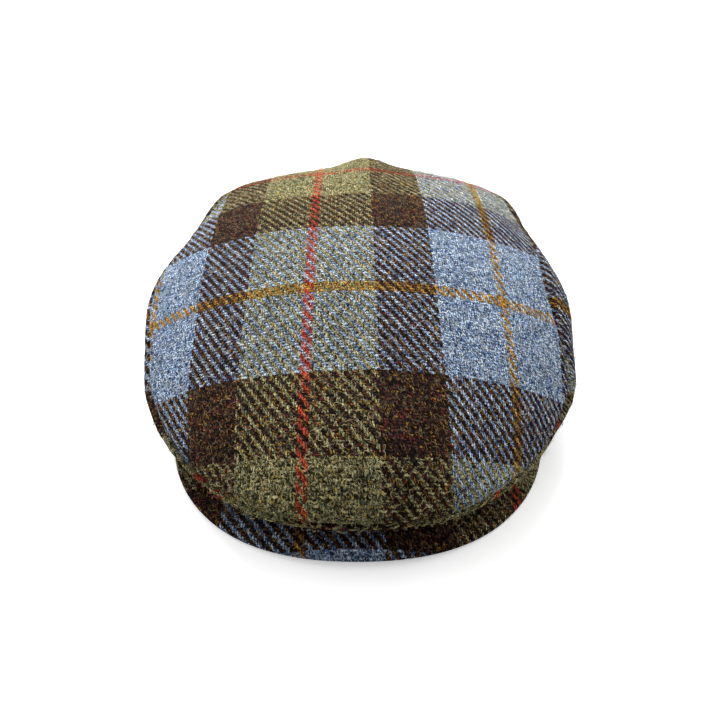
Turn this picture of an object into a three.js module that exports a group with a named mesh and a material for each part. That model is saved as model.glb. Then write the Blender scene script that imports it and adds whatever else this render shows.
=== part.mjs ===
// A flat cap of heavy tartan tweed, lying by itself on a table.
// Millimetres. +Z is up, the peak points towards -Y, and the table is z = 0.
// The cloth is a wall of even thickness. The top panel is one piece of cloth that is first laid out
// flat (along the warp and across it) and then shaped: its spine runs from the front roll to the back
// of the head, and from each point of the spine the cloth falls away to both sides.
import * as THREE from 'three';
import { LoftGeometry } from 'three/addons/geometries/LoftGeometry.js';

// Cloth and seams
const CLOTH = 2.6; // tweed with its interlining
const SEAM_GAP = 0.3; // left open between two panels, and between the rim and the peak

// The side panels run on from the top panel at the seam, and come down to the rim from outside it
const SEAM_FULLNESS = 0.4; // how far they run on, as a share of their height
const RIM_FULLNESS = 0.3; // how far above the rim they turn towards it, as a share of their height
const OVERHANG_KEPT = 0.35; // of the overhang past the rim, the share still there at that turn
const FULLNESS = 4; // added to both
const NEAR_SEAM = 0.985; // share of the way to the seam that gives the direction of the cloth there

// The opening for the head, and the rim around it
const RIM_HALF_LENGTH = 106;
const RIM_HALF_WIDTH = 86;
const RIM_CENTRE_Y = 167;
const RIM_SQUARENESS = 2.3;
const RIM_LIFT = 13; // how high the front of the rim stands, on the root of the peak
const RIM_LIFT_ENDS = 90; // degrees from the front, where the rim is down on the table

// The peak, a stiff board covered in tweed
const PEAK_HALF_WIDTH = 86;
const PEAK_LENGTH = 95.6; // from its widest place to its front edge
const PEAK_CENTRE_Y = 100;
const PEAK_SQUARENESS = 2.1;
const PEAK_ASIDE = - 1; // it is sewn on a little to the wearer's right
const PEAK_SWEEP = 106; // degrees from the front to each corner
const PEAK_TUCK = 5; // how far it reaches inside the rim
const PEAK_THICKNESS = 4.5;
const PEAK_CORNER_THICKNESS = 1.8;
const PEAK_FRONT_LIFT = 3; // the middle of its front edge stands clear of the table
const PEAK_LIFT_ENDS = 45; // degrees from the front, where its edge is down on the table
const PEAK_ARCH = 1.5; // how much its middle rises over the line from rim to edge
const PEAK_ROOT = 0.2; // share of the way from root to edge that stays level under the rim
const PEAK_EDGE_ROUND = 1.2; // how far its edge stands out at half its thickness
const CORNER_EDGE_ROUND = 0.6; // the same at its corners

// The spine: distance along the cloth from the foremost point, and the slope of the cloth there
const FRONT_HEIGHT = 22;
const SPINE = [
	{ along: - 16, slope: 150 },
	{ along: 0, slope: 105 },
	{ along: 14, slope: 62 },
	{ along: 30, slope: 32 },
	{ along: 52, slope: 21 },
	{ along: 80, slope: 19 },
	{ along: 120, slope: 13 },
	{ along: 160, slope: 7 },
	{ along: 200, slope: 2 },
	{ along: 235, slope: - 2 },
	{ along: 262, slope: - 8 },
	{ along: 284, slope: - 12 },
	{ along: 302, slope: - 32 },
	{ along: 318, slope: - 64 },
];

// How the cloth falls away to the sides of the spine: the angle that it has turned at TURN_REACH
// from the spine, how late the turn comes, how far the fall leans back, and the soft ridge that the
// back seam pushes up along the middle
const TURN_REACH = 105;
const RIDGE_WIDTH = 16;
const RIDGE_ASIDE = 3; // the ridge stands a little to the left of the middle
const FALL = [
	{ along: - 16, turn: 88, late: 1.1, lean: 60, ridge: 0 },
	{ along: 0, turn: 88, late: 1.1, lean: 58, ridge: 0 },
	{ along: 30, turn: 62, late: 0.85, lean: 44, ridge: 0 },
	{ along: 72, turn: 51, late: 1, lean: 37, ridge: 1 },
	{ along: 120, turn: 43, late: 1, lean: 35, ridge: 0 },
	{ along: 168, turn: 42, late: 1.25, lean: 31, ridge: 0 },
	{ along: 216, turn: 59, late: 2, lean: 25, ridge: 2 },
	{ along: 262, turn: 49, late: 1.75, lean: 18, ridge: 5 },
	{ along: 284, turn: 67, late: 1.85, lean: 5, ridge: 7 },
	{ along: 318, turn: 78, late: 1.7, lean: - 10, ridge: 7 },
];

// The outline that the top panel is cut to: its reach from a point of the spine, by the bearing
// from the front, and how far each side panel swells out past the seam there
const PANEL_MIDDLE = 140;
const OUTLINE = [
	{ bearing: 0, left: 137, right: 137, swellLeft: 4, swellRight: 4 },
	{ bearing: 20, left: 138, right: 138, swellLeft: 1, swellRight: 5 },
	{ bearing: 35, left: 136, right: 137, swellLeft: 1, swellRight: 3 },
	{ bearing: 48, left: 131, right: 132, swellLeft: - 2, swellRight: 3 },
	{ bearing: 62, left: 126, right: 127, swellLeft: 3, swellRight: 2 },
	{ bearing: 75, left: 109, right: 120, swellLeft: 8, swellRight: - 3 },
	{ bearing: 90, left: 100, right: 119, swellLeft: 12, swellRight: - 7 },
	{ bearing: 110, left: 106, right: 115, swellLeft: 4, swellRight: - 5 },
	{ bearing: 135, left: 129, right: 124, swellLeft: 4, swellRight: - 2 },
	{ bearing: 158, left: 154, right: 152, swellLeft: 4, swellRight: 0 },
	{ bearing: 180, left: 166, right: 166, swellLeft: 2, swellRight: 2 },
];

const TOP_COLOR = 0x6f7263;
const SIDE_COLOR = 0x5c5148;
const PEAK_COLOR = 0x4b4338;

// How finely the faceted walls follow the shape
const COLUMNS = 72; // around the cap
const PANEL_RINGS = 11;
const WALL_ROWS = 8;
const PEAK_COLUMNS = 36;
const PEAK_ROWS = 5;
const STEPS = 24; // of each sum along the cloth

const radians = THREE.MathUtils.degToRad;
const { lerp, smoothstep } = THREE.MathUtils;

// The value of a column of a table at x, on a smooth curve through the rows
function read( table, key, column, x ) {

	const at = THREE.MathUtils.clamp( x, table[ 0 ][ key ], table.at( - 1 )[ key ] );
	const row = Math.max( 1, table.findIndex( ( r ) => r[ key ] >= at ) );
	const [ a, b ] = [ table[ row - 1 ], table[ row ] ];
	const width = b[ key ] - a[ key ];
	const t = ( at - a[ key ] ) / width;
	const from = rate( table, key, column, row - 1 ) * width;
	const to = rate( table, key, column, row ) * width;
	return ( 1 + 2 * t ) * ( 1 - t ) ** 2 * a[ column ] + t * ( 1 - t ) ** 2 * from
		+ t * t * ( 3 - 2 * t ) * b[ column ] + t * t * ( t - 1 ) * to;

}

// How fast a column changes at a row, from the rows on either side
function rate( table, key, column, row ) {

	const step = ( i, name ) => table[ i + 1 ][ name ] - table[ i ][ name ];
	const slope = ( i ) => step( i, column ) / step( i, key );
	if ( row === 0 ) return slope( 0 );
	if ( row === table.length - 1 ) return slope( row - 1 );
	const [ before, after ] = [ step( row - 1, key ), step( row, key ) ];
	return ( slope( row - 1 ) * after + slope( row ) * before ) / ( before + after );

}

// The mean of a function over 0..1
function mean( f ) {

	let sum = 0;
	for ( let i = 0; i < STEPS; i ++ ) sum += f( ( i + 0.5 ) / STEPS );
	return sum / STEPS;

}

// The shaped cloth: a point given by its flat place along the spine and across it
function shaped( along, across ) {

	const slope = ( share ) => radians( read( SPINE, 'along', 'slope', along * share ) );
	const spineY = along * mean( ( share ) => Math.cos( slope( share ) ) );
	const spineZ = FRONT_HEIGHT + along * mean( ( share ) => Math.sin( slope( share ) ) );
	const reach = Math.abs( across );
	const full = radians( read( FALL, 'along', 'turn', along ) );
	const late = read( FALL, 'along', 'late', along );
	const lean = radians( read( FALL, 'along', 'lean', along ) );
	const ridge = read( FALL, 'along', 'ridge', along );
	const turn = ( share ) => full * ( reach * share / TURN_REACH ) ** late;
	const x = across * mean( ( share ) => Math.cos( turn( share ) ) );
	const fall = reach * mean( ( share ) => Math.sin( turn( share ) ) )
		+ ridge * ( 1 - Math.exp( - ( ( ( across - RIDGE_ASIDE ) / RIDGE_WIDTH ) ** 2 ) ) );
	return new THREE.Vector3( x, spineY + fall * Math.sin( lean ), spineZ - fall * Math.cos( lean ) );

}

// A place on the top panel: share 0 is its middle and 1 its cut edge. Bearings run from 0 at the
// front to 180 at the back on the wearer's left (+X), and from 0 to -180 on the other side.
function topPoint( share, bearing ) {

	const side = bearing < 0 ? 'right' : 'left';
	const reach = share * read( OUTLINE, 'bearing', side, Math.abs( bearing ) );
	const angle = radians( bearing );
	return shaped( PANEL_MIDDLE - reach * Math.cos( angle ), reach * Math.sin( angle ) );

}

// The oval of the rim, in the direction of an angle from the front, drawn in by inset
function rimPoint( angle, inset = 0 ) {

	const aside = Math.abs( Math.sin( angle ) ) / ( RIM_HALF_WIDTH - inset );
	const ahead = Math.abs( Math.cos( angle ) ) / ( RIM_HALF_LENGTH - inset );
	const radius = ( aside ** RIM_SQUARENESS + ahead ** RIM_SQUARENESS ) ** ( - 1 / RIM_SQUARENESS );
	const lift = RIM_LIFT * ( 1 - smoothstep( Math.abs( angle ), 0, radians( RIM_LIFT_ENDS ) ) );
	return outward( angle ).multiplyScalar( radius ).add( new THREE.Vector3( 0, RIM_CENTRE_Y, lift ) );

}

function outward( angle ) {

	return new THREE.Vector3( Math.sin( angle ), - Math.cos( angle ), 0 );

}

// The side panel's curve at a bearing, from the seam with the top panel down to the rim
function sideCurve( bearing ) {

	const seam = topPoint( 1, bearing );
	const leaving = seam.clone().sub( topPoint( NEAR_SEAM, bearing ) ).normalize();
	const angle = Math.atan2( seam.x, RIM_CENTRE_Y - seam.y );
	const rim = rimPoint( angle );
	const out = outward( angle );
	const height = seam.z - rim.z;
	const overhang = seam.clone().sub( rim ).dot( out );
	const swell = read( OUTLINE, 'bearing', bearing < 0 ? 'swellRight' : 'swellLeft', Math.abs( bearing ) );
	const start = seam.clone().addScaledVector( leaving, SEAM_GAP / 2 );
	const top = seam.clone().addScaledVector( leaving, SEAM_FULLNESS * height + FULLNESS );
	top.addScaledVector( out, swell );
	const foot = rim.clone().addScaledVector( out, OVERHANG_KEPT * overhang + FULLNESS );
	foot.z += RIM_FULLNESS * height;
	return { edge: seam.clone().addScaledVector( leaving, - SEAM_GAP / 2 ), out,
		curve: new THREE.CubicBezierCurve3( start, top, foot, rim ) };

}

// The outside of the whole crown as rows of points, from the middle of the top to the rim. A row
// holds one point for each bearing, and the seam lies between the rows PANEL_RINGS - 1 and PANEL_RINGS.
const bearings = Array.from( { length: COLUMNS }, ( _, i ) => i * 360 / COLUMNS - 180 );
const sides = bearings.map( sideCurve );
const outside = [];
for ( let ring = 1; ring < PANEL_RINGS; ring ++ ) {

	outside.push( bearings.map( ( bearing ) => topPoint( ring / PANEL_RINGS, bearing ) ) );

}

outside.push( sides.map( ( side ) => side.edge ) );
for ( let row = 0; row <= WALL_ROWS; row ++ ) {

	outside.push( sides.map( ( side ) => side.curve.getPoint( row / WALL_ROWS ) ) );

}

// The inside: each point moved in by the thickness of the cloth, and level with the outside at the
// rim. The two rows at the seam move in along one direction, so the gap between them stays even.
const inside = outside.map( ( row, i ) => row.map( ( point, j ) => {

	if ( i === outside.length - 1 ) return point.clone().addScaledVector( sides[ j ].out, - CLOTH );
	const above = i === PANEL_RINGS ? i - 2 : Math.max( i - 1, 0 );
	const below = i === PANEL_RINGS - 1 ? i + 2 : i + 1;
	const down = outside[ below ][ j ].clone().sub( outside[ above ][ j ] );
	const around = row[ ( j + 1 ) % COLUMNS ].clone().sub( row[ ( j + COLUMNS - 1 ) % COLUMNS ] );
	return point.clone().addScaledVector( down.cross( around ).normalize(), - CLOTH );

} ) );

function cloth( color ) {

	return new THREE.MeshStandardMaterial( { color, roughness: 0.95, metalness: 0 } );

}

// A closed skin through rings of points, with a fan of triangles over the first ring and the last
function skin( rings ) {

	const count = rings[ 0 ].length;
	const points = rings.flat();
	const faces = [];
	const corner = ( ring, i ) => ring * count + i % count;
	for ( let ring = 1; ring < rings.length; ring ++ ) {

		for ( let i = 0; i < count; i ++ ) {

			const [ a, b ] = [ corner( ring - 1, i ), corner( ring - 1, i + 1 ) ];
			const [ c, d ] = [ corner( ring, i + 1 ), corner( ring, i ) ];
			faces.push( a, b, c, a, c, d );

		}

	}

	for ( const ring of [ rings[ 0 ], rings.at( - 1 ) ] ) {

		const sum = ring.reduce( ( total, point ) => total.add( point ), new THREE.Vector3() );
		points.push( sum.divideScalar( count ) );

	}

	const last = rings.length - 1;
	for ( let i = 0; i < count; i ++ ) {

		faces.push( points.length - 2, corner( 0, i + 1 ), corner( 0, i ) );
		faces.push( points.length - 1, corner( last, i ), corner( last, i + 1 ) );

	}

	const geometry = new THREE.BufferGeometry().setFromPoints( points );
	geometry.setIndex( faces );
	geometry.computeVertexNormals();
	return geometry;

}

// Top panel: rings from the middle out along the inside, and back along the outside
function topPanel() {

	const rings = [ ...inside.slice( 0, PANEL_RINGS ), ...outside.slice( 0, PANEL_RINGS ).reverse() ];
	const mesh = new THREE.Mesh( skin( rings ), cloth( TOP_COLOR ) );
	mesh.name = 'top_panel';
	return mesh;

}

// Side panel: a cross-section at each bearing from one end to the other. Its ends are on the centre
// line, at the back seam and under the front roll, and each is drawn in by half a gap.
function sidePanel( name, from, to ) {

	const side = Math.sign( from + to - COLUMNS );
	const sections = [];
	for ( let j = from; j <= to; j ++ ) {

		const outer = outside.slice( PANEL_RINGS ).map( ( row ) => row[ j % COLUMNS ] );
		const inner = inside.slice( PANEL_RINGS ).map( ( row ) => row[ j % COLUMNS ] );
		const section = [ ...outer, ...inner.reverse() ].map( ( point ) => point.clone() );
		if ( j === from || j === to ) section.forEach( ( point ) => point.setX( side * SEAM_GAP / 2 ) );
		sections.push( section );

	}

	const geometry = new LoftGeometry( sections, { capStart: true, capEnd: true } );
	const mesh = new THREE.Mesh( geometry, cloth( SIDE_COLOR ) );
	mesh.name = name;
	return mesh;

}

// A point of the peak's outer edge, by the angle from the front
function peakEdge( angle, grow = 0 ) {

	const rounded = ( part ) => Math.sign( part ) * Math.abs( part ) ** ( 2 / PEAK_SQUARENESS );
	const x = PEAK_ASIDE + ( PEAK_HALF_WIDTH + grow ) * rounded( Math.sin( angle ) );
	const y = PEAK_CENTRE_Y - ( PEAK_LENGTH + grow ) * rounded( Math.cos( angle ) );
	return new THREE.Vector3( x, y, 0 );

}

// Peak: a cross-section at each angle, from inside the rim to the edge and back
function peak() {

	const sections = [];
	for ( let i = 0; i <= PEAK_COLUMNS; i ++ ) {

		const angle = radians( lerp( - PEAK_SWEEP, PEAK_SWEEP, i / PEAK_COLUMNS ) );
		const edge = peakEdge( angle );
		const rimAngle = Math.atan2( edge.x, RIM_CENTRE_Y - edge.y );
		const root = rimPoint( rimAngle, PEAK_TUCK );
		const corner = Math.abs( angle ) / radians( PEAK_SWEEP );
		const thickness = lerp( PEAK_THICKNESS, PEAK_CORNER_THICKNESS, corner ** 2 );
		const rootTop = root.z - SEAM_GAP;
		const lifted = 1 - smoothstep( Math.abs( angle ), 0, radians( PEAK_LIFT_ENDS ) );
		const edgeTop = thickness + PEAK_FRONT_LIFT * lifted;
		const upper = [];
		for ( let row = 0; row <= PEAK_ROWS; row ++ ) {

			const share = row / PEAK_ROWS;
			const point = new THREE.Vector3().lerpVectors( root, edge, share );
			// The root stays level under the rim, and the arch comes in past it
			const past = Math.max( 0, ( share - PEAK_ROOT ) / ( 1 - PEAK_ROOT ) );
			point.z = lerp( rootTop, edgeTop, past ) + PEAK_ARCH * ( 1 - corner ) * Math.sin( Math.PI * past );
			upper.push( point );

		}

		const nose = peakEdge( angle, lerp( PEAK_EDGE_ROUND, CORNER_EDGE_ROUND, corner ) );
		nose.z = edgeTop - thickness / 2;
		const lower = upper.map( ( point ) => new THREE.Vector3( point.x, point.y, point.z - thickness ) );
		sections.push( [ ...upper, nose, ...lower.reverse() ] );

	}

	const geometry = new LoftGeometry( sections, { capStart: true, capEnd: true } );
	const mesh = new THREE.Mesh( geometry, cloth( PEAK_COLOR ) );
	mesh.name = 'peak';
	return mesh;

}

// The origin is the middle of the bottom of the cap's own box
const cap = new THREE.Group();
cap.add( topPanel() );
cap.add( sidePanel( 'side_panel_left', COLUMNS / 2, COLUMNS ) );
cap.add( sidePanel( 'side_panel_right', 0, COLUMNS / 2 ) );
cap.add( peak() );
const box = new THREE.Box3().setFromObject( cap );
const middle = box.getCenter( new THREE.Vector3() );
for ( const piece of cap.children ) piece.position.set( - middle.x, - middle.y, - box.min.z );

export default cap;
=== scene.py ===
import math

import bmesh
import bpy
import numpy as np
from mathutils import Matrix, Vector, noise


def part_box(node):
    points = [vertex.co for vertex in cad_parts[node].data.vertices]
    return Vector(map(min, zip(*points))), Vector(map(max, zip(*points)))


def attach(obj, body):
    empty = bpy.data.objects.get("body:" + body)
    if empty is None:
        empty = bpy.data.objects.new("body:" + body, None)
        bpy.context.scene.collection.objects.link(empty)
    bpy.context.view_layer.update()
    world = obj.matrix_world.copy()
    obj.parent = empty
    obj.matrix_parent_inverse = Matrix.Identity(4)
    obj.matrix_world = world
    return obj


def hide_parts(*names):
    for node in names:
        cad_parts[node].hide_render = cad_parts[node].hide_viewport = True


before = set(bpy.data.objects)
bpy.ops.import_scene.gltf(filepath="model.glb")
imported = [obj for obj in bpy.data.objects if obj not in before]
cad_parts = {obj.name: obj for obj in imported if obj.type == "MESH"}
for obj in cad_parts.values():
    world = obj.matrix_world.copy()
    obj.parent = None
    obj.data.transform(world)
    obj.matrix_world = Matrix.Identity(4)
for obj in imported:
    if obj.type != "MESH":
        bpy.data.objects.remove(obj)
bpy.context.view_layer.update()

MM = 0.001


# ---------------------------------------------------------------------------------------------
# Top panel. One large piece of twilled tweed, cut to a long oval, pressed to shape and sewn to the
# side panels all the way round. It rolls down over the peak in front, and the back seam pushes a
# soft ridge up into it.

# Lengths are in millimetres and angles in degrees
SEAM_GAP = 0.3
CLOTH = 2.6
ROLL_AHEAD = 1.8  # of the front of the peak
CENTRE_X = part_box("side_panel_left")[0].x / MM - SEAM_GAP / 2
FRONT_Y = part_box("peak")[0].y / MM - ROLL_AHEAD  # of the front of the roll, where the spine starts
FRONT_HEIGHT = 22

# The spine runs back over the middle of the panel
SPINE = {
    "along": (-16, 0, 14, 30, 52, 80, 120, 160, 200, 235, 262, 284, 302, 318),
    "slope": (150, 105, 62, 32, 21, 19, 13, 7, 2, -2, -8, -12, -32, -64),
}
# The cloth falls away on both sides of it: how far it has turned down at TURN_REACH, how late it
# turns, how far its fall leans back, and how high the ridge over the back seam is
FALL = {
    "along": (-16, 0, 30, 72, 120, 168, 216, 262, 284, 318),
    "turn": (88, 88, 62, 51, 43, 42, 59, 49, 67, 78),
    "late": (1.1, 1.1, 0.85, 1, 1, 1.25, 2, 1.75, 1.85, 1.7),
    "lean": (60, 58, 44, 37, 35, 31, 25, 18, 5, -10),
    "ridge": (0, 0, 0, 1, 0, 0, 2, 5, 7, 7),
}
TURN_REACH = 105
RIDGE_WIDTH = 16
RIDGE_ASIDE = 3
# The cut edge, by its bearing round the middle of the flat cloth: its distance on each side, and how
# far the side panel below it swells out
PANEL_MIDDLE = 140
OUTLINE = {
    "bearing": (0, 20, 35, 48, 62, 75, 90, 110, 135, 158, 180),
    "left": (137, 138, 136, 131, 126, 109, 100, 106, 129, 154, 166),
    "right": (137, 138, 137, 132, 127, 120, 119, 115, 124, 152, 166),
    "swell_left": (4, 1, 1, -2, 3, 8, 12, 4, 4, 4, 2),
    "swell_right": (4, 5, 3, 3, 2, -3, -7, -5, -2, 0, 2),
}
CURVE_STEPS = 24


def read(table, key, column, x):
    """A column of a table at x, on a smooth curve through the rows."""
    keys, values = (np.array(table[name], float) for name in (key, column))
    rates = np.gradient(values, keys)
    x = np.clip(x, keys[0], keys[-1])
    i = np.clip(np.searchsorted(keys, x, side="right") - 1, 0, len(keys) - 2)
    width = keys[i + 1] - keys[i]
    t = (x - keys[i]) / width
    return (
        (1 + 2 * t) * (1 - t) ** 2 * values[i]
        + t * (1 - t) ** 2 * rates[i] * width
        + t * t * (3 - 2 * t) * values[i + 1]
        + t * t * (t - 1) * rates[i + 1] * width
    )


def bell(x, height, middle, width):
    return height * np.exp(-(((x - middle) / width) ** 2))


def shaped(along, across):
    """Points of the shaped cloth from their flat places: along the spine, and across from it."""
    along, across = np.broadcast_arrays(np.asarray(along, float), np.asarray(across, float))
    shares = (np.arange(CURVE_STEPS) + 0.5) / CURVE_STEPS
    slope = np.radians(read(SPINE, "along", "slope", along[..., None] * shares))
    spine_y = along * np.cos(slope).mean(-1)
    spine_z = FRONT_HEIGHT + along * np.sin(slope).mean(-1)
    unshaded, lean = (np.radians(read(FALL, "along", c, along)) for c in ("turn", "lean"))
    late, ridge = (read(FALL, "along", c, along) for c in ("late", "ridge"))
    reach = np.abs(across)
    turn = unshaded[..., None] * (reach[..., None] * shares / TURN_REACH) ** late[..., None]
    x = across * np.cos(turn).mean(-1)
    beside_ridge = ridge * (1 - bell(across, 1, RIDGE_ASIDE, RIDGE_WIDTH))
    fall = reach * np.sin(turn).mean(-1) + beside_ridge
    return np.stack(
        [x + CENTRE_X, spine_y + FRONT_Y + fall * np.sin(lean), spine_z - fall * np.cos(lean)], -1
    )


def panel_place(share, bearing):
    """The flat place (along, across) at a share of the way to the cut edge on a bearing."""
    left, right = (read(OUTLINE, "bearing", side, np.abs(bearing)) for side in ("left", "right"))
    reach = share * np.where(bearing < 0, right, left)
    angle = np.radians(bearing)
    return PANEL_MIDDLE - reach * np.cos(angle), reach * np.sin(angle)


def uneven(points, size, seed):
    """Smooth noise, from about -1 to 1, with bumps of a size."""
    places = points.reshape(-1, 3) / size + (seed, 0, 0)
    return np.array([noise.noise(Vector(p)) for p in places]).reshape(points.shape[:-1])


def waves(points, rows):
    """How far the cloth waves in and out, from rows of a height, a size and a seed."""
    return sum(height * uneven(points, size, seed) for height, size, seed in rows)


# Beside a seam: the height, the distance from the seam, and the width
VALLEY = (-1.5, 0, 1.7)
TURNED_IN_EDGE = (0.55, 5, 3.4)
PUCKERS = (0.35, 0, 8)
PUCKER_SIZE = 6


def near_seam(distance, points, seed):
    """How high the cloth stands at a distance from a seam: a valley, and beside it the ridge of the
    turned-in edge with small puckers."""
    puckers = bell(distance, *PUCKERS) * uneven(points, PUCKER_SIZE, seed)
    return bell(distance, *VALLEY) + bell(distance, *TURNED_IN_EDGE) + puckers


SAME_PLACE = 0.001


def cloth_grid(points, threads):
    """A closed skin of faces through rows of points, each with its place among the threads. Rows and
    columns that fall on each other are joined."""
    rows, columns = points.shape[:2]
    mesh = bmesh.new()
    bmesh.ops.create_grid(mesh, x_segments=columns - 1, y_segments=rows - 1, size=0.5)
    place = mesh.verts.layers.float_vector.new("place")
    for vertex in mesh.verts:
        row = round((vertex.co.y + 0.5) * (rows - 1))
        column = round((vertex.co.x + 0.5) * (columns - 1))
        vertex[place] = (*threads[row, column], 0)
        vertex.co = Vector(points[row, column]) * MM
    bmesh.ops.remove_doubles(mesh, verts=mesh.verts, dist=SAME_PLACE * MM)
    return mesh


def finish_piece(name, mesh, material, slot, *nodes):
    """Makes the object: outward, smooth faces, a UV map that counts the threads of the cloth, and its
    material. It hangs the object on the root body and hides the parts of the model that it stands for."""
    bmesh.ops.recalc_face_normals(mesh, faces=mesh.faces)
    place = mesh.verts.layers.float_vector["place"]
    layer = mesh.loops.layers.uv.new("threads")
    for face in mesh.faces:
        face.smooth = True
        for loop in face.loops:
            loop[layer].uv = loop.vert[place].xy
    mesh.verts.layers.float_vector.remove(place)
    data = bpy.data.meshes.new(name)
    mesh.to_mesh(data)
    mesh.free()
    piece = bpy.data.objects.new(name, data)
    bpy.context.scene.collection.objects.link(piece)
    data.materials.append(material)
    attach(piece, "root")
    if nodes:
        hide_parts(*nodes)
    return piece


# The warp's ends run from front to back and the weft's picks across. Places in the cloth are
# counted in them.
END_PITCH = 1.122
PICK_PITCH = 1.62
MIDDLE_END = 22.1  # in the middle of the top panel
FIRST_PICK = -42.9  # where the spine starts
WEFT_START = 52  # threads of the tartan before pick 0

# The yarns of the tartan, outwards from the middle of the red stripe. It turns back there, and in the
# middle of the orange one.
SETT = (  # yarn, its last thread, its dark, its body, its light, and two colours of fleck
    ("red", 2,
     (0.16, 0.010, 0.006), (0.60, 0.055, 0.03), (0.85, 0.16, 0.08),
     (0.75, 0.22, 0.05), (0.5, 0.03, 0.04)),
    ("green", 26,
     (0.010, 0.009, 0.005), (0.175, 0.162, 0.068), (0.68, 0.64, 0.35),
     (0.60, 0.40, 0.06), (0.12, 0.18, 0.12)),
    ("brown", 50,
     (0.0015, 0.001, 0.001), (0.003, 0.002, 0.002), (0.06, 0.042, 0.034),
     (0.40, 0.22, 0.03), (0.18, 0.026, 0.03)),
    ("blue", 78,
     (0.025, 0.060, 0.170), (0.26, 0.41, 0.68), (0.76, 0.90, 1.0),
     (0.86, 0.92, 0.98), (0.08, 0.15, 0.36)),
    ("orange", 81,
     (0.16, 0.065, 0.008), (0.50, 0.24, 0.03), (0.84, 0.52, 0.13),
     (0.30, 0.10, 0.02), (0.78, 0.52, 0.10)),
)
SETT_HALF = 80  # threads from the one middle to the other
RED_MIDDLE = 2  # the thread in the middle of a red stripe


def group(name, inputs, outputs):
    """An empty node group: its tree, the sockets it is given and those it puts out."""
    tree = bpy.data.node_groups.new(name, "ShaderNodeTree")
    for side, sockets in (("INPUT", inputs), ("OUTPUT", outputs)):
        for label, kind in sockets.items():
            tree.interface.new_socket(name=label, in_out=side, socket_type="NodeSocket" + kind)
    return tree, tree.nodes.new("NodeGroupInput").outputs, tree.nodes.new("NodeGroupOutput").inputs


def add(tree, kind, inputs=(), **settings):
    """A node with its settings, and with values or links put into its inputs."""
    made = tree.nodes.new(kind)
    for key, value in settings.items():
        setattr(made, key, value)
    items = inputs.items() if isinstance(inputs, dict) else enumerate(inputs)
    for key, value in items:
        if isinstance(value, bpy.types.NodeSocket):
            tree.links.new(value, made.inputs[key])
        else:
            made.inputs[key].default_value = value
    return made


def maths(tree, operation, *values):
    return add(tree, "ShaderNodeMath", values, operation=operation).outputs[0]


def vector_maths(tree, operation, *values):
    return add(tree, "ShaderNodeVectorMath", values, operation=operation).outputs[0]


def vector(tree, x, y, z=0.0):
    return add(tree, "ShaderNodeCombineXYZ", (x, y, z)).outputs[0]


def rise(tree, value, low, high):
    """0 below low, 1 above high, and smooth between."""
    made = add(tree, "ShaderNodeMapRange", (value, low, high), interpolation_type="SMOOTHSTEP")
    return made.outputs[0]


def blend(tree, share, first, second, mode="MIX"):
    made = add(tree, "ShaderNodeMix", {0: share, 6: first, 7: second}, data_type="RGBA", blend_type=mode)
    return made.outputs[2]


def blend_value(tree, share, first, second):
    return add(tree, "ShaderNodeMix", {0: share, 2: first, 3: second}, data_type="FLOAT").outputs[0]


def noisy(tree, place, scale, detail=2.0, roughness=0.5):
    """Smooth noise: one value, and three as a colour."""
    made = add(tree, "ShaderNodeTexNoise",
               {"Vector": place, "Scale": scale, "Detail": detail, "Roughness": roughness})
    return made.outputs


# Hand-spun yarn wanders from its line, and its loose fibres make its sides ragged: the scale, the
# roughness and the reach of both, in threads
YARN_WANDERS = ((0.7, 0.5, 1.0), (2.6, 0.7, 0.9))
TWILL_REPEAT = 4.0
FLOAT_HALF_LENGTH, FLOAT_HALF_WIDTH = 1.60, 0.42
WARP_LEAN, WEFT_LEAN = 0.08, 0.04  # of a float, from the line of its yarn
STRAY_FIBRES = 3.0  # how far they blur which yarn is on top
STRAY_NOISE = (2.4, 2.0, 0.7)  # scale, detail and roughness
LOWEST = -0.5  # height between the floats
CROSSING = 0.08  # half the blur where one yarn goes under another


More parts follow.
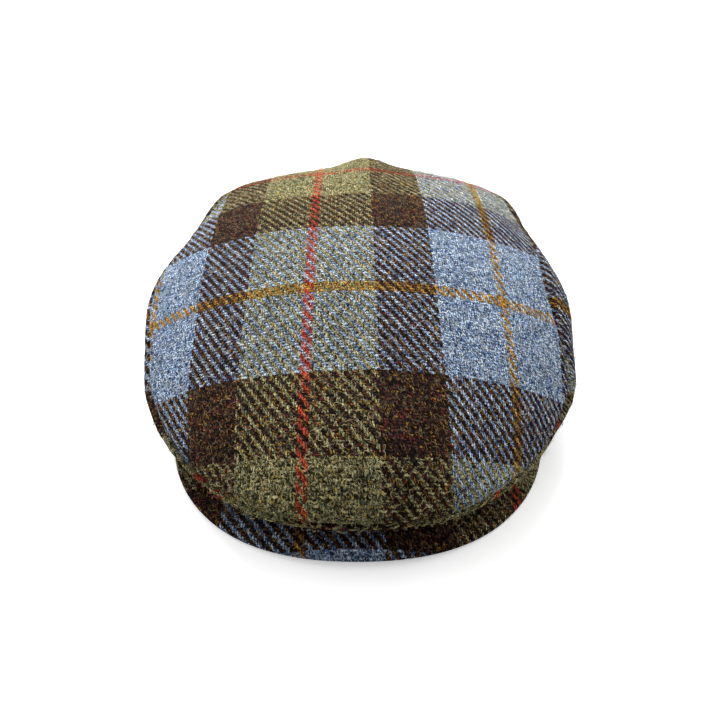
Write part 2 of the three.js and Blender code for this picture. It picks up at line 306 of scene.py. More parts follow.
def twill_group():
    """Two-and-two twill: how far the warp stands over the weft, how high the upper one is, the numbers
    of the two threads, and a strength for each float, where a yarn passes over two others. A float is a
    rounded lozenge."""
    tree, given, out = group(
        "Twill", {"Threads": "Vector"},
        {"Warp over weft": "Float", "Height": "Float", "End": "Float", "Pick": "Float", "Strength": "Float"},
    )
    place = given[0]
    for scale, roughness, reach in YARN_WANDERS:
        noise_color = noisy(tree, given[0], scale, 2.0, roughness)[1]
        off = vector_maths(tree, "SUBTRACT", noise_color, (0.5, 0.5, 0.5))
        place = vector_maths(tree, "ADD", place, vector_maths(tree, "MULTIPLY", off, (reach, reach, reach)))
    end_place, pick_place = add(tree, "ShaderNodeSeparateXYZ", (place,)).outputs[:2]
    numbers, heights, strengths = [], [], []
    for across, along, first, lean in (
        (end_place, pick_place, 1.0, WARP_LEAN), (pick_place, end_place, -1.0, WEFT_LEAN),
    ):
        number = maths(tree, "FLOOR", across)
        phase = maths(tree, "ADD", maths(tree, "ADD", along, number), first)
        repeat_place = maths(tree, "FLOORED_MODULO", phase, TWILL_REPEAT)
        from_middle = maths(tree, "SUBTRACT", repeat_place, TWILL_REPEAT / 2)
        aside = maths(tree, "SUBTRACT", maths(tree, "FRACT", across), 0.5)
        aside = maths(tree, "MULTIPLY_ADD", from_middle, lean, aside)
        long_part = maths(tree, "POWER", maths(tree, "DIVIDE", from_middle, FLOAT_HALF_LENGTH), 2.0)
        wide_part = maths(tree, "POWER", maths(tree, "DIVIDE", aside, FLOAT_HALF_WIDTH), 2.0)
        heights.append(maths(tree, "SUBTRACT", maths(tree, "SUBTRACT", 1.0, long_part), wide_part))
        numbers.append(maths(tree, "ADD", number, 0.5))
        repeat = maths(tree, "FLOOR", maths(tree, "DIVIDE", phase, TWILL_REPEAT))
        one_float = vector(tree, number, repeat, first)
        strengths.append(add(tree, "ShaderNodeTexWhiteNoise", {"Vector": one_float}).outputs[0])
    stray = noisy(tree, given[0], *STRAY_NOISE)[0]
    stray = maths(tree, "MULTIPLY_ADD", stray, STRAY_FIBRES, -STRAY_FIBRES / 2)
    difference = maths(tree, "ADD", maths(tree, "SUBTRACT", *heights), stray)
    height = maths(tree, "MAXIMUM", maths(tree, "MAXIMUM", *heights), LOWEST)
    top = rise(tree, difference, -CROSSING, CROSSING)
    strength = blend_value(tree, top, strengths[1], strengths[0])
    for socket, value in zip(out, (difference, height, *numbers, strength)):
        tree.links.new(value, socket)
    return tree


DARK_FIBRES = (0.28, 0.50)
LIGHT_FIBRES = (0.52, 0.78)


def yarn_group():
    """The colour of one yarn of the tartan, from its number and from where its fibres are."""
    tree, given, out = group(
        "Tartan yarn", {"Thread": "Float", "Fibre": "Float", "Fleck": "Float", "Second fleck": "Float"},
        {"Color": "Color", "Light": "Color"},
    )
    counted = maths(tree, "ADD", given[0], float(SETT_HALF - RED_MIDDLE))
    turned = maths(tree, "FLOORED_MODULO", counted, 2.0 * SETT_HALF)
    away = maths(tree, "ABSOLUTE", maths(tree, "SUBTRACT", turned, float(SETT_HALF)))
    last_thread = SETT[-1][1]
    place = maths(tree, "DIVIDE", away, float(last_thread))
    shades = []
    for colors in zip(*(yarn[2:] for yarn in SETT)):
        ramp = add(tree, "ShaderNodeValToRGB", (place,))
        ramp.color_ramp.interpolation = "CONSTANT"
        start = 0.0
        for i, (yarn, color) in enumerate(zip(SETT, colors)):
            stop = ramp.color_ramp.elements[i] if i < 2 else ramp.color_ramp.elements.new(start)
            stop.position = start
            stop.color = (*color, 1)
            start = yarn[1] / last_thread
        shades.append(ramp.outputs[0])
    dark, body, light, fleck, second = shades
    color = blend(tree, rise(tree, given[1], *DARK_FIBRES), dark, body)
    color = blend(tree, rise(tree, given[1], *LIGHT_FIBRES), color, light)
    color = blend(tree, given[2], color, fleck)
    color = blend(tree, given[3], color, second)
    tree.links.new(color, out[0])
    tree.links.new(light, out[1])
    return tree


ENDS_SEED, PICKS_SEED = 3.0, 61.0
YARN_STEP = 7.31  # between the noise of one yarn and the next
FIBRES_ACROSS = 4.0  # how many times finer the fibres are across a yarn than along it
FIBRES_WIND = 1.6  # how far they wind round it along its way
# Every noise here has a scale, a detail and a roughness
FIBRE_NOISE = (0.9, 3.0, 0.65)
FIBRE_CONTRAST = 2.9
PATCH_NOISE = (1.0, 1.0)  # of lighter and darker lengths of a yarn
PATCH_SPEED = 0.5
PATCH_CONTRAST = 1.5
FLECK_NOISE = (0.55, 1.0)
FLECKS = ((40.0, 0.60), (90.0, 0.61))  # seed, and how rare they are
FLECK_EDGE = 0.05
MILLING = 0.6  # how far a darker yarn spreads over a lighter one
MILLING_CONTRAST = 2.0  # how soon one yarn counts as darker than the other
STRANDS = ((0.42, 0.0, 0.012), (0.75, 17.0, 0.016))  # scale, seed and width
STRAND_CORE = 0.4  # share of the width
STRAND_BREAKS = (0.45, 0.6)
BREAK_NOISE = (0.6, 1.0)
STRAND_SHARE = 0.6
STRAND_COVER = 0.7  # how much of the painted shade in a hollow it hides
FLOAT_STRENGTHS = (0.65, 0.8)  # of the weakest, and how much more the strongest has
TUFT_NOISE = (1.6, 2.0, 0.75)
TUFTS = (0.40, 0.58)
# Share of the weave left out of the painted shade in the gaps between tufts
TUFT_GAP_UNSHADED = 0.02
SHADE_FADE_HEIGHTS = (-0.10, 0.65)  # heights of the weave over which the painted shade fades, from darkest in the deepest hollow to none
RELIEF = {"weave": 0.55, "fibres": 0.30, "tufts": 0.25, "strands": 0.10}


def tweed_group():
    """The whole cloth: colour, a mask of painted shade for its hollows and the gaps between its tufts, and
    height of a twilled tartan tweed with a hairy surface, and the light colour of the yarn on top."""
    tree, given, out = group(
        "Tweed", {"Threads": "Vector"},
        {"Color": "Color", "Hollow shade": "Float", "Height": "Float", "Light": "Color"},
    )
    weave = add(tree, "ShaderNodeGroup", node_tree=twill_group())
    tree.links.new(given[0], weave.inputs[0])
    over, height, end, pick, strength = weave.outputs
    pick = maths(tree, "ADD", pick, float(WEFT_START))
    end_place, pick_place = add(tree, "ShaderNodeSeparateXYZ", (given[0],)).outputs[:2]
    yarn = yarn_group()
    colors, lights, fibres = [], [], []
    for number, across, along, seed in (
        (end, end_place, pick_place, ENDS_SEED), (pick, pick_place, end_place, PICKS_SEED),
    ):
        # Fibres lie along the yarn and wind round it
        around = maths(tree, "MULTIPLY", across, FIBRES_ACROSS)
        wound = maths(tree, "ADD", around, maths(tree, "MULTIPLY", along, FIBRES_WIND))
        layer = maths(tree, "MULTIPLY_ADD", number, YARN_STEP, seed)
        fine = noisy(tree, vector(tree, wound, along, layer), *FIBRE_NOISE)[0]
        slow = maths(tree, "MULTIPLY", along, PATCH_SPEED)
        patch = noisy(tree, vector(tree, slow, layer), *PATCH_NOISE)[0]
        fibre = maths(tree, "MULTIPLY_ADD", maths(tree, "SUBTRACT", fine, 0.5), FIBRE_CONTRAST, 0.5)
        patch = maths(tree, "MULTIPLY", maths(tree, "SUBTRACT", patch, 0.5), PATCH_CONTRAST)
        fibre = maths(tree, "ADD", fibre, patch)
        flecks = []
        for offset, rarity in FLECKS:
            fleck_place = vector(tree, wound, along, maths(tree, "ADD", layer, offset))
            dots = noisy(tree, fleck_place, *FLECK_NOISE)[0]
            flecks.append(rise(tree, dots, rarity, rarity + FLECK_EDGE))
        made = add(tree, "ShaderNodeGroup", (number, fibre, *flecks), node_tree=yarn)
        colors.append(made.outputs[0])
        lights.append(made.outputs[1])
        fibres.append(fibre)
    # Milling spreads the soft dark yarns a little over the light ones
    warp_light, weft_light = (add(tree, "ShaderNodeRGBToBW", (shade,)).outputs[0] for shade in lights)
    darker = maths(tree, "MULTIPLY", maths(tree, "SUBTRACT", weft_light, warp_light), MILLING_CONTRAST)
    darker = add(tree, "ShaderNodeClamp", (darker, -1.0, 1.0)).outputs[0]
    top = rise(tree, maths(tree, "MULTIPLY_ADD", darker, MILLING, over), -CROSSING, CROSSING)
    color = blend(tree, top, colors[1], colors[0])
    light = blend(tree, top, lights[1], lights[0])
    # Loose hairs curl over the yarns
    strands = 0.0
    for scale, seed, width in STRANDS:
        moved = vector_maths(tree, "ADD", given[0], (seed, seed, seed))
        line = maths(tree, "ABSOLUTE", maths(tree, "SUBTRACT", noisy(tree, moved, scale, 1.5, 0.6)[0], 0.5))
        strand = maths(tree, "SUBTRACT", 1.0, rise(tree, line, width * STRAND_CORE, width))
        strands = maths(tree, "MAXIMUM", strands, strand)
    broken = rise(tree, noisy(tree, given[0], *BREAK_NOISE)[0], *STRAND_BREAKS)
    strands = maths(tree, "MULTIPLY", strands, broken)
    weakest, more = FLOAT_STRENGTHS
    strength = maths(tree, "MULTIPLY_ADD", strength, more, weakest)
    color = blend(tree, 1.0, color, vector(tree, strength, strength, strength), "MULTIPLY")
    color = blend(tree, maths(tree, "MULTIPLY", strands, STRAND_SHARE), color, light)
    # The milled surface is full of small tufts. Painted shade darkens the gaps between them and the
    #     # hollows between the floats, less where a loose hair lies over them
    tuft = rise(tree, noisy(tree, given[0], *TUFT_NOISE)[0], *TUFTS)
    unshaded = maths(tree, "MULTIPLY", rise(tree, height, *SHADE_FADE_HEIGHTS), blend_value(tree, tuft, TUFT_GAP_UNSHADED, 1.0))
    bare = maths(tree, "SUBTRACT", 1.0, maths(tree, "MULTIPLY", strands, STRAND_COVER))
    hollow_shade = maths(tree, "MULTIPLY", maths(tree, "SUBTRACT", 1.0, unshaded), bare)
    raised = maths(tree, "MULTIPLY", height, RELIEF["weave"])
    top_fibres = blend_value(tree, top, fibres[1], fibres[0])
    for name, part in (("fibres", top_fibres), ("tufts", tuft), ("strands", strands)):
        raised = maths(tree, "ADD", raised, maths(tree, "MULTIPLY", part, RELIEF[name]))
    for socket, value in zip(out, (color, hollow_shade, raised, light)):
        tree.links.new(value, socket)
    return tree


TWEED = tweed_group()
# Painted shade for the hollows of the weave: its near-black colour, and how far it covers the yarn
HOLLOW_SHADE_COLOR = (0.003, 0.002, 0.002, 1)
HOLLOW_SHADE_SHARE = 0.95
SHEEN_GAIN = 4.5


def tweed_material(name):
    material = bpy.data.materials.new(name)
    material.use_nodes = True
    tree = material.node_tree
    shader = tree.nodes["Principled BSDF"]
    threads = add(tree, "ShaderNodeUVMap", uv_map="threads").outputs[0]
    cloth = add(tree, "ShaderNodeGroup", (threads,), node_tree=TWEED).outputs
    # Painted shade: the base colour turns nearly black in the hollows between the floats and the gaps
    # between the tufts
    color = blend(tree, maths(tree, "MULTIPLY", cloth["Hollow shade"], HOLLOW_SHADE_SHARE), cloth["Color"], HOLLOW_SHADE_COLOR)
    bump = add(tree, "ShaderNodeBump", {"Strength": 1.0, "Distance": MM, "Height": cloth["Height"]})
    tree.links.new(color, shader.inputs["Base Color"])
    # Fine hairs on the yarns catch the light when seen edge-on, in the colour of the wool
    sheen = blend(tree, 1.0, color, (SHEEN_GAIN, SHEEN_GAIN, SHEEN_GAIN, 1), "MULTIPLY")
    tree.links.new(sheen, shader.inputs["Sheen Tint"])
    tree.links.new(bump.outputs[0], shader.inputs["Normal"])
    shader.inputs["Roughness"].default_value = 0.95
    shader.inputs["Specular IOR Level"].default_value = 0.03
    shader.inputs["Sheen Weight"].default_value = 1.0
    shader.inputs["Sheen Roughness"].default_value = 0.4
    return material


def unit(vectors):
    return vectors / np.maximum(np.linalg.norm(vectors, axis=-1, keepdims=True), 1e-9)


def facing(points, closed=False):
    """The direction out of a grid of points. The first and last columns of a closed one are the same."""
    around = np.gradient(points, axis=1)
    if closed:
        around[:, 0] = around[:, -1] = points[:, 1] - points[:, -2]
    normal = unit(np.cross(around, np.gradient(points, axis=0)))
    middle = np.array([CENTRE_X, FRONT_Y + PANEL_MIDDLE, FRONT_HEIGHT])
    return normal if ((points - middle) * normal).sum() > 0 else -normal


TOP_ROWS, TOP_COLUMNS = 90, 360
TOP_CROWDING = 1.3  # of the rows towards the seam
TOP_WAVES = ((0.5, 34, 2), (0.2, 13, 8))  # height, size and seed
PUCKER_SEED = 5
# Pressing the crown has drawn its warp together towards the back, and a little aside: the share, and
# the ends, for each millimetre from the middle
DRAWN_TOGETHER = 0.00025
DRAWN_ASIDE = 0.01

top_share = (1 - np.linspace(1, 0, TOP_ROWS)[:, None] ** TOP_CROWDING) * (1 - SEAM_GAP / 2 / PANEL_MIDDLE)
top_bearing = np.linspace(-180, 180, TOP_COLUMNS + 1)[None, :]
top_along, top_across = panel_place(top_share, top_bearing)
top_plain = shaped(top_along, top_across)
top_plain[:, -1] = top_plain[:, 0]
top_normal = facing(top_plain, closed=True)
from_middle = np.hypot(top_along - PANEL_MIDDLE, top_across)
to_seam = from_middle[-1] - from_middle
top_lift = near_seam(to_seam, top_plain, PUCKER_SEED) + waves(top_plain, TOP_WAVES)
top_outer = top_plain + top_normal * top_lift[..., None]
top_inner = top_plain - top_normal * CLOTH
behind = top_along - PANEL_MIDDLE
top_ends = top_across / END_PITCH * (1 + DRAWN_TOGETHER * behind) + MIDDLE_END + DRAWN_ASIDE * behind
top_threads = np.stack([top_ends, top_along / PICK_PITCH + FIRST_PICK], -1)
top_mesh = cloth_grid(
    np.concatenate([top_outer, (top_outer + top_inner)[-1:] / 2, top_inner[::-1]]),
    np.concatenate([top_threads, top_threads[-1:], top_threads[::-1]]),
)
top_tweed = tweed_material("top panel tweed")
top_panel = finish_piece("top_panel_cloth", top_mesh, top_tweed, "tweed_top", "top_panel")


# ---------------------------------------------------------------------------------------------
# Side panels. Two curved strips of the same tweed, sewn to the top panel along its edge and to
# each other at the back. They are tall behind, narrow to a band under the front roll, and are
# turned in along the rim of the head opening.

RIM_HALF_LENGTH = 106
RIM_HALF_WIDTH = 86
RIM_CENTRE_Y = 167
RIM_SQUARENESS = 2.3
RIM_LIFT = 13  # in front, over the peak
# The wall leaves the seam in line with the top panel and curves down to the rim
INSIDE_SEAM = 0.985  # share of the way to the edge at which that line starts
SEAM_PULL = 0.4  # how far it keeps to that line, as a share of its height
FULLNESS_FRONT, FULLNESS_BACK = 1, 4  # and how much further
FULLNESS_CHANGES = (40, 80)  # bearings
RIM_PULL = 0.3
RIM_SWELL = 4
OVERHANG_KEPT = 0.35  # share of the seam's overhang that the wall still has near the rim
UP = np.array([0, 0, 1])


def smooth(x, low, high):
    share = np.clip((x - low) / (high - low), 0, 1)
    return share * share * (3 - 2 * share)


def rim_point(angle, inset=0):
    """The oval of the head opening in the direction of an angle from the front."""
    power = RIM_SQUARENESS
    across = (np.abs(np.sin(angle)) / (RIM_HALF_WIDTH - inset)) ** power
    ahead = (np.abs(np.cos(angle)) / (RIM_HALF_LENGTH - inset)) ** power
    radius = (across + ahead) ** (-1 / power)
    lift = RIM_LIFT * (1 - smooth(np.abs(angle), 0, math.pi / 2))
    x = CENTRE_X + radius * np.sin(angle)
    return np.stack([x, FRONT_Y + RIM_CENTRE_Y - radius * np.cos(angle), lift], -1)


def rim_angle_of(points):
    return np.arctan2(points[:, 0] - CENTRE_X, FRONT_Y + RIM_CENTRE_Y - points[:, 1])


def side_wall(bearing, drops):
    """Rows of points of the side panel, from the seam (drop 0) to the fold at the rim (drop 1), and the
    level direction out."""
    seam = shaped(*panel_place(1.0, bearing))
    leaving = unit(seam - shaped(*panel_place(INSIDE_SEAM, bearing)))
    angle = rim_angle_of(seam)
    rim = rim_point(angle) + UP * CLOTH / 2
    out = np.stack([np.sin(angle), -np.cos(angle), 0 * angle], -1)
    height = (seam - rim)[:, 2:]
    overhang = ((seam - rim) * out).sum(-1, keepdims=True)
    side = "swell_right" if bearing.sum() < 0 else "swell_left"
    swell = read(OUTLINE, "bearing", side, np.abs(bearing))[:, None]
    gain = FULLNESS_BACK - FULLNESS_FRONT
    fullness = FULLNESS_FRONT + gain * smooth(np.abs(bearing), *FULLNESS_CHANGES)[:, None]
    start = seam + leaving * SEAM_GAP / 2
    first = seam + leaving * (SEAM_PULL * height + fullness) + out * swell
    last = rim + out * (OVERHANG_KEPT * overhang + RIM_SWELL) + UP * RIM_PULL * height
    t = drops[:, None, None]
    wall = (1 - t) ** 3 * start + 3 * t * (1 - t) ** 2 * first + 3 * t * t * (1 - t) * last + t ** 3 * rim
    return wall, out


def lengths(points, axis):
    """Distance along a grid of points, from its first row or column."""
    steps = np.linalg.norm(np.diff(points, axis=axis), axis=-1)
    return np.concatenate([np.zeros_like(steps.take([0], axis)), np.cumsum(steps, axis)], axis)


def sealed(points, threads):
    """Closes a folded sheet along its two edges and at its two ends, where its faces meet halfway."""
    halfway = (points + points[::-1]) / 2
    points = np.concatenate([halfway[:1], points, halfway[-1:]])
    threads = np.concatenate([threads[:1], threads, threads[-1:]])
    halfway = (points + points[::-1]) / 2
    points = np.concatenate([halfway[:, :1], points, halfway[:, -1:]], 1)
    threads = np.concatenate([threads[:, :1], threads, threads[:, -1:]], 1)
    return points, threads


SIDE_ROWS, SIDE_COLUMNS, FOLD_ROWS = 34, 261, 6
SIDE_CROWDING = 1.2  # of the rows towards the seam
ENDS_CROWDING = 0.8  # of the columns towards the front and the back
SIDE_WAVES = ((0.5, 30, 4),)  # height, size and seed
BACK_PUCKER_SEED = 9
WAVES_FULL = 12  # from the seam
RELIEF_FULL = 9  # from the rim
HEM = 15  # how far up from the rim it reaches inside
HEM_THICKNESS = 0.9
HEM_EDGE = 1.5
HEM_FULL = 3  # from the rim
HEM_STITCHES = (-0.5, 12.5, 0.8)  # height, distance from the rim and width
FOOT_ENDS = 10  # from the rim, above which the inside follows the wall
ORANGE_BEARING = 86  # where the orange stripe across the side panels meets the seam
ORANGE_PICK = 30
SEAM_ENDS = {  # the thread along the seam, by the distance behind the place of the red ones
    "behind": (-115, -60, -20, 0, 28, 70, 110, 300),
    "end": (-22, -16, -9, -1, 20, 32, 36, 40),
}


def side_panel(name, node, side, red_bearing):
    """One side panel: its outside down to the rim, the fold, and its inside back up to the seam."""
    share = np.linspace(0, 1, SIDE_COLUMNS)
    bearing = side * 180 * (share - ENDS_CROWDING * np.sin(2 * math.pi * share) / (2 * math.pi))
    plain, out = side_wall(bearing, np.linspace(0, 1, SIDE_ROWS) ** SIDE_CROWDING)
    plain[:, [0, -1], 0] = CENTRE_X + side * SEAM_GAP / 2
    down = lengths(plain, 0)
    up = down[-1] - down
    run = lengths(plain, 1)
    from_back = run[:, -1:] - run
    normal = facing(plain)
    lift = near_seam(down, plain, PUCKER_SEED) + waves(plain, SIDE_WAVES) * smooth(down, 0, WAVES_FULL)
    lift = lift + near_seam(from_back, plain, BACK_PUCKER_SEED)
    outer = plain + normal * (lift * smooth(up, 0, RELIEF_FULL))[..., None]
    hem = HEM_THICKNESS * (1 - smooth(up, HEM, HEM + HEM_EDGE)) + bell(up, *HEM_STITCHES)
    inner = plain - normal * (CLOTH + hem * smooth(up, 0, HEM_FULL))[..., None]
    edge, foot = outer[-1], outer[-1] - out * CLOTH
    inner = inner + (foot - inner[-1]) * (1 - smooth(up, 0, FOOT_ENDS))[..., None]
    turns = np.linspace(0, math.pi, FOLD_ROWS + 2)[1:-1, None, None]
    fold = (edge + foot) / 2 + out * CLOTH / 2 * np.cos(turns) - UP * CLOTH / 2 * np.sin(turns)
    orange_run, red_run = np.interp((ORANGE_BEARING, red_bearing), np.abs(bearing), run[0])
    end = side * (read(SEAM_ENDS, "behind", "end", run[0] - red_run) + down / END_PITCH)
    pick = ORANGE_PICK + (run[0] - orange_run) / PICK_PITCH + 0 * down
    front = np.stack([end, pick], -1)
    threads = np.concatenate([front, np.repeat(front[-1:], FOLD_ROWS, 0), front[::-1]])
    threads[SIDE_ROWS:-SIDE_ROWS, :, 0] += side * CLOTH / 2 / END_PITCH * turns[..., 0]
    mesh = cloth_grid(*sealed(np.concatenate([outer, fold, inner[::-1]]), threads))
    material = tweed_material(name.replace("_cloth", "").replace("_", " ") + " tweed")
    return finish_piece(name, mesh, material, "tweed_side", node), (outer, normal, front)


side_left, left_outside = side_panel(
    "side_panel_left_cloth", "side_panel_left", side=1, red_bearing=50)
side_right, right_outside = side_panel(
    "side_panel_right_cloth", "side_panel_right", side=-1, red_bearing=35)


# ---------------------------------------------------------------------------------------------
# Peak. A thin stiff board covered above and below in the same tweed, whose two pieces are sewn
# together at the edge and turned in. Its root is sewn in under the front of the rim.

PEAK_HALF_WIDTH = 86
PEAK_LENGTH = 95.6
PEAK_CENTRE_Y = 100
PEAK_SQUARENESS = 2.1
PEAK_ASIDE = -1
PEAK_SWEEP = 106  # how far its edge runs round on each side
PEAK_TUCK = 5  # of its root inside the rim
PEAK_LEVEL = 0.2  # share of its depth in which it runs level from the root
PEAK_THICKNESS = 4.5
PEAK_CORNER_THICKNESS = 1.8
PEAK_FRONT_LIFT = 3
PEAK_LIFT_ENDS = 45
PEAK_ARCH = 1.5
PEAK_ROWS, PEAK_COLUMNS, NOSE_ROWS = 56, 240, 9
PEAK_WAVES = ((0.3, 22, 6), (0.12, 9, 3))  # height, size and seed
PEAK_WAVES_FULL = 8  # from the edge
NOSE_FULLNESS = 0.8
NOSE_SEAM = 0.72  # share of the way down the edge at which the seam lies
NOSE_SEAM_DEPTH = 0.9
NOSE_WRAP = 0.9  # of the cloth round the edge
ORANGE_END = 82
PEAK_ORANGE_X = -23.6  # of the orange stripe from the middle
PEAK_BROWN_INSET = 1.5  # from the front edge to the brown stripe


def peak_edge(angle):
    power = 2 / PEAK_SQUARENESS
    x = PEAK_ASIDE + PEAK_HALF_WIDTH * np.abs(np.sin(angle)) ** power * np.sign(angle)
    y = PEAK_CENTRE_Y - PEAK_LENGTH * np.abs(np.cos(angle)) ** power * np.sign(np.cos(angle))
    return np.stack([CENTRE_X + x, FRONT_Y + y, 0 * angle], -1)


angle = np.radians(np.linspace(-PEAK_SWEEP, PEAK_SWEEP, PEAK_COLUMNS))
corner = np.abs(angle) / angle[-1]
root = rim_point(rim_angle_of(peak_edge(angle)), PEAK_TUCK)
thickness = PEAK_THICKNESS + (PEAK_CORNER_THICKNESS - PEAK_THICKNESS) * corner ** 2
edge_top = thickness + PEAK_FRONT_LIFT * (1 - smooth(np.abs(angle), 0, math.radians(PEAK_LIFT_ENDS)))
share = np.linspace(0, 1, PEAK_ROWS)[:, None]
past = np.maximum(0, (share - PEAK_LEVEL) / (1 - PEAK_LEVEL))
arch = PEAK_ARCH * (1 - corner) * np.sin(math.pi * past)
upper = root + (peak_edge(angle) - root) * share[..., None]
upper[..., 2] = (root[:, 2] - SEAM_GAP) * (1 - past) + edge_top * past + arch
lower = upper - UP * thickness[:, None]
to_edge = lengths(upper, 0)
to_edge = to_edge[-1] - to_edge
edge_way = unit((upper[-1] - upper[-4]) * (1, 1, 0))
# The cloth is pulled in by the seam that joins the two pieces, low on the edge
turns = np.linspace(0, math.pi, NOSE_ROWS + 2)[1:-1, None, None]
half = thickness[:, None] / 2
nose_out = edge_way * half * np.sin(turns) * NOSE_FULLNESS
nose = (upper[-1] + lower[-1]) / 2 + nose_out + UP * half * np.cos(turns)
nose[round(NOSE_ROWS * NOSE_SEAM)] -= edge_way * NOSE_SEAM_DEPTH
peak_lift = waves(upper, PEAK_WAVES) * smooth(to_edge, 0, PEAK_WAVES_FULL)
upper = upper + UP * peak_lift[..., None]
peak_front = FRONT_Y + PEAK_CENTRE_Y - PEAK_LENGTH
peak_end = ORANGE_END - (upper[..., 0] - CENTRE_X - PEAK_ORANGE_X) / END_PITCH
peak_pick = -(upper[..., 1] - peak_front - PEAK_BROWN_INSET) / PICK_PITCH
peak_threads = np.stack([peak_end, peak_pick], -1)
around = (half * turns * NOSE_WRAP)[..., 0]
nose_end = peak_end[-1:] - around * edge_way[:, 0] / END_PITCH
nose_pick = peak_pick[-1:] - around * edge_way[:, 1] / PICK_PITCH
peak_mesh = cloth_grid(*sealed(
    np.concatenate([upper, nose, lower[::-1]]),
    np.concatenate([peak_threads, np.stack([nose_end, nose_pick], -1), peak_threads[::-1]]),
))
peak = finish_piece("peak_cloth", peak_mesh, tweed_material("peak tweed"), "tweed_peak", "peak")


# ---------------------------------------------------------------------------------------------
# Loose hairs. Milled tweed is covered in coarse curly wool hairs that have worked out of the yarns
# and lie over them. Each is spun into the cloth at both ends, and has nearly the colour of its yarn.

HAIR_RADIUS = 0.095
HAIR_LENGTHS = (2, 4.8)
HAIR_LIFT = (0.2, 0.9)
HAIR_START = 0.1  # how high its ends are
HAIR_CURL = 0.9  # radians to the millimetre
HAIR_WAVE = 0.7  # radians
HAIR_POINTS = 8
HAIRS_PER_AREA = 0.085  # to the square millimetre
HAIR_SIDES = (0, 120, 240, 0)


def hairs(outer, normal, threads, random):
    """Rows of points round tapered hairs that are spread evenly over a grid of points, and the places
    among the threads at which they grow."""
    down = outer[1:, :-1] - outer[:-1, :-1]
    along = outer[:-1, 1:] - outer[:-1, :-1]
    area = np.linalg.norm(np.cross(down, along), axis=-1).ravel()
    count = round(area.sum() * HAIRS_PER_AREA)
    row, column = np.unravel_index(random.choice(area.size, count, p=area / area.sum()), down.shape[:2])
    shift = random.uniform(0, 1, (count, 2, 1))
    root = outer[row, column] + down[row, column] * shift[:, 0] + along[row, column] * shift[:, 1]
    up = normal[row, column]
    ahead = unit(along[row, column])
    aside = np.cross(up, ahead)
    steps = np.linspace(0, 1, HAIR_POINTS)
    length = random.uniform(*HAIR_LENGTHS, (count, 1))
    curl = random.normal(0, HAIR_CURL, (count, 1)) * length
    turn = random.uniform(0, 2 * math.pi, (count, 1)) + curl * steps
    turn = turn + random.normal(0, HAIR_WAVE, (count, 1)) * np.sin(2 * math.pi * steps)
    ahead_by, aside_by = (np.cumsum(way(turn) * length / (HAIR_POINTS - 1), 1) for way in (np.cos, np.sin))
    height = random.uniform(*HAIR_LIFT, (count, 1)) * np.sin(math.pi * steps) + HAIR_START
    middle = root[:, None] + ahead[:, None] * ahead_by[..., None] + aside[:, None] * aside_by[..., None]
    middle = middle + up[:, None] * height[..., None]
    middle[..., 2] = np.maximum(middle[..., 2], 2 * HAIR_RADIUS)
    way = unit(np.gradient(middle, axis=1))
    over = unit(np.cross(way, up[:, None] + 0 * way))
    above = np.cross(over, way)
    around = np.radians(HAIR_SIDES)[:, None]
    radius = HAIR_RADIUS * np.sin(math.pi * steps)[:, None, None] ** 0.5
    ring = over[:, :, None] * np.cos(around) + above[:, :, None] * np.sin(around)
    skin = middle[:, :, None] + radius * ring
    places = threads[row, column][:, None, None] + np.zeros((1, HAIR_POINTS, len(HAIR_SIDES), 1))
    return skin.transpose(1, 0, 2, 3), places.transpose(1, 0, 2, 3)


STRAW = (0.60, 0.48, 0.25, 1)
STRAW_SHARE = 0.35


def hair_material():
    """The light colour of the yarn that a hair grows from, turned a little towards straw."""
    material = bpy.data.materials.new("loose wool hairs")
    material.use_nodes = True
    tree = material.node_tree
    shader = tree.nodes["Principled BSDF"]
    threads = add(tree, "ShaderNodeUVMap", uv_map="threads").outputs[0]
    light = add(tree, "ShaderNodeGroup", (threads,), node_tree=TWEED).outputs["Light"]
    tree.links.new(blend(tree, STRAW_SHARE, light, STRAW), shader.inputs["Base Color"])
    shader.inputs["Roughness"].default_value = 0.8
    shader.inputs["Specular IOR Level"].default_value = 0.2
    return material


wool_hair = hair_material()
random = np.random.default_rng(11)
for name, slot, outsides in (
    ("top_panel_hairs", "tweed_top", [(top_outer, top_normal, top_threads)]),
    ("side_panel_hairs", "tweed_side", [left_outside, right_outside]),
    ("peak_hairs", "tweed_peak", [(upper, 0 * upper + UP, peak_threads)]),
):
    grown = [hairs(*outside, random) for outside in outsides]
    skins, places = (np.concatenate(parts, 1) for parts in zip(*grown))
    mesh = cloth_grid(skins.reshape(HAIR_POINTS, -1, 3), places.reshape(HAIR_POINTS, -1, 2))
    # A face from one hair to the next goes, since the two grow at different places
    place = mesh.verts.layers.float_vector["place"]
    between = [f for f in mesh.faces if len({vertex[place].to_tuple() for vertex in f.verts}) > 1]
    bmesh.ops.delete(mesh, geom=between, context="FACES")
    finish_piece(name, mesh, wool_hair, slot)


# ---------------------------------------------------------------------------------------------
# Floor, light and camera. A plain pale floor under soft light from above and behind.

FLOOR_HALF_SIZE = 8  # metres
FLOOR_DROP = 0.3
FLOOR_SEEN = (0.93, 0.93, 0.93, 1)
FLOOR_BOUNCE = (0.3, 0.3, 0.3, 1)  # what it gives back to the cap
FLOOR_GLOW = 0.45  # keeps its shadows pale

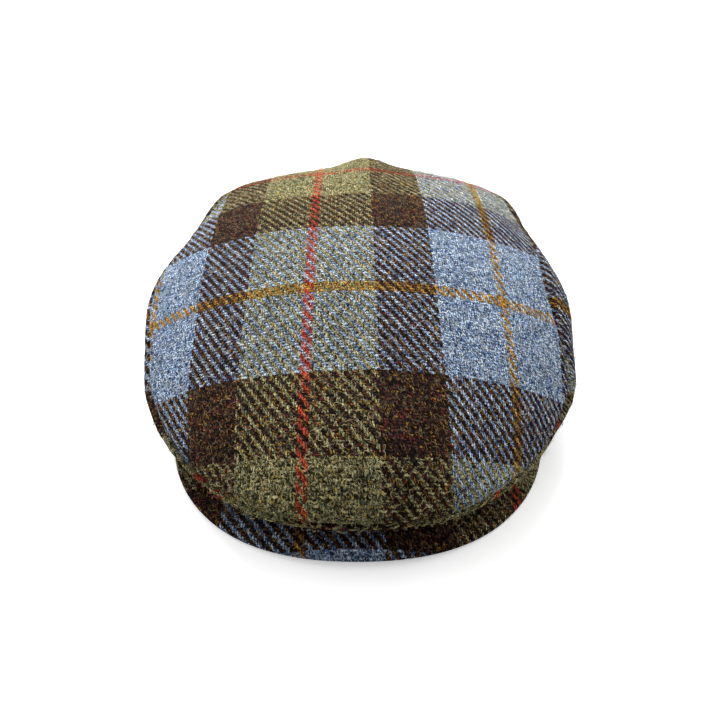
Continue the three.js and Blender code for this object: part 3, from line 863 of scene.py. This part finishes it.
floor_mesh = bmesh.new()
bmesh.ops.create_grid(floor_mesh, x_segments=1, y_segments=1, size=FLOOR_HALF_SIZE)
bmesh.ops.translate(floor_mesh, verts=floor_mesh.verts, vec=(0, 0, -FLOOR_DROP * MM))
floor_data = bpy.data.meshes.new("floor")
floor_mesh.to_mesh(floor_data)
floor_mesh.free()
floor = bpy.data.objects.new("floor", floor_data)
bpy.context.scene.collection.objects.link(floor)
floor_finish = bpy.data.materials.new("pale floor")
floor_finish.use_nodes = True
tree = floor_finish.node_tree
shader = tree.nodes["Principled BSDF"]
seen = tree.nodes.new("ShaderNodeLightPath").outputs["Is Camera Ray"]
tree.links.new(blend(tree, seen, FLOOR_BOUNCE, FLOOR_SEEN), shader.inputs["Base Color"])
tree.links.new(maths(tree, "MULTIPLY", seen, FLOOR_GLOW), shader.inputs["Emission Strength"])
shader.inputs["Emission Color"].default_value = (1, 1, 1, 1)
shader.inputs["Roughness"].default_value = 0.9
shader.inputs["Specular IOR Level"].default_value = 0.1
floor_data.materials.append(floor_finish)

# Name, strength, degrees down from straight above, degrees round from the back towards the wearer's
# right, and degrees wide
LIGHTS = (
    ("key", 7.3, 58, 12, 50),
    ("right side", 1.4, 72, 85, 60),
    ("left side", 0.9, 72, -80, 60),
    ("overhead", 1.5, 10, 0, 110),
)
FILL = 0.18
for name, strength, down, round_by, wide in LIGHTS:
    light_data = bpy.data.lights.new(name, "SUN")
    light_data.energy = strength
    light_data.angle = math.radians(wide)
    light = bpy.data.objects.new(name, light_data)
    light.rotation_euler = (math.radians(-down), 0, math.radians(round_by))
    bpy.context.scene.collection.objects.link(light)
world = bpy.data.worlds.new("soft fill")
world.use_nodes = True
world.node_tree.nodes["Background"].inputs["Color"].default_value = (1, 1, 1, 1)
world.node_tree.nodes["Background"].inputs["Strength"].default_value = FILL
bpy.context.scene.world = world
bpy.context.scene.view_settings.view_transform = "Standard"

CAMERA_AHEAD = 219.9  # of the roll
CAMERA_HEIGHT = 231.4
CAMERA_TILT = 59  # from straight down
camera_data = bpy.data.cameras.new("camera")
camera_data.lens = 40.15
camera_data.sensor_width = 36
camera_data.shift_y = -0.01
camera = bpy.data.objects.new("camera", camera_data)
camera.location = Vector((CENTRE_X, FRONT_Y - CAMERA_AHEAD, CAMERA_HEIGHT)) * MM
camera.rotation_euler = (math.radians(CAMERA_TILT), 0, 0)
bpy.context.scene.collection.objects.link(camera)
bpy.context.scene.camera = camera
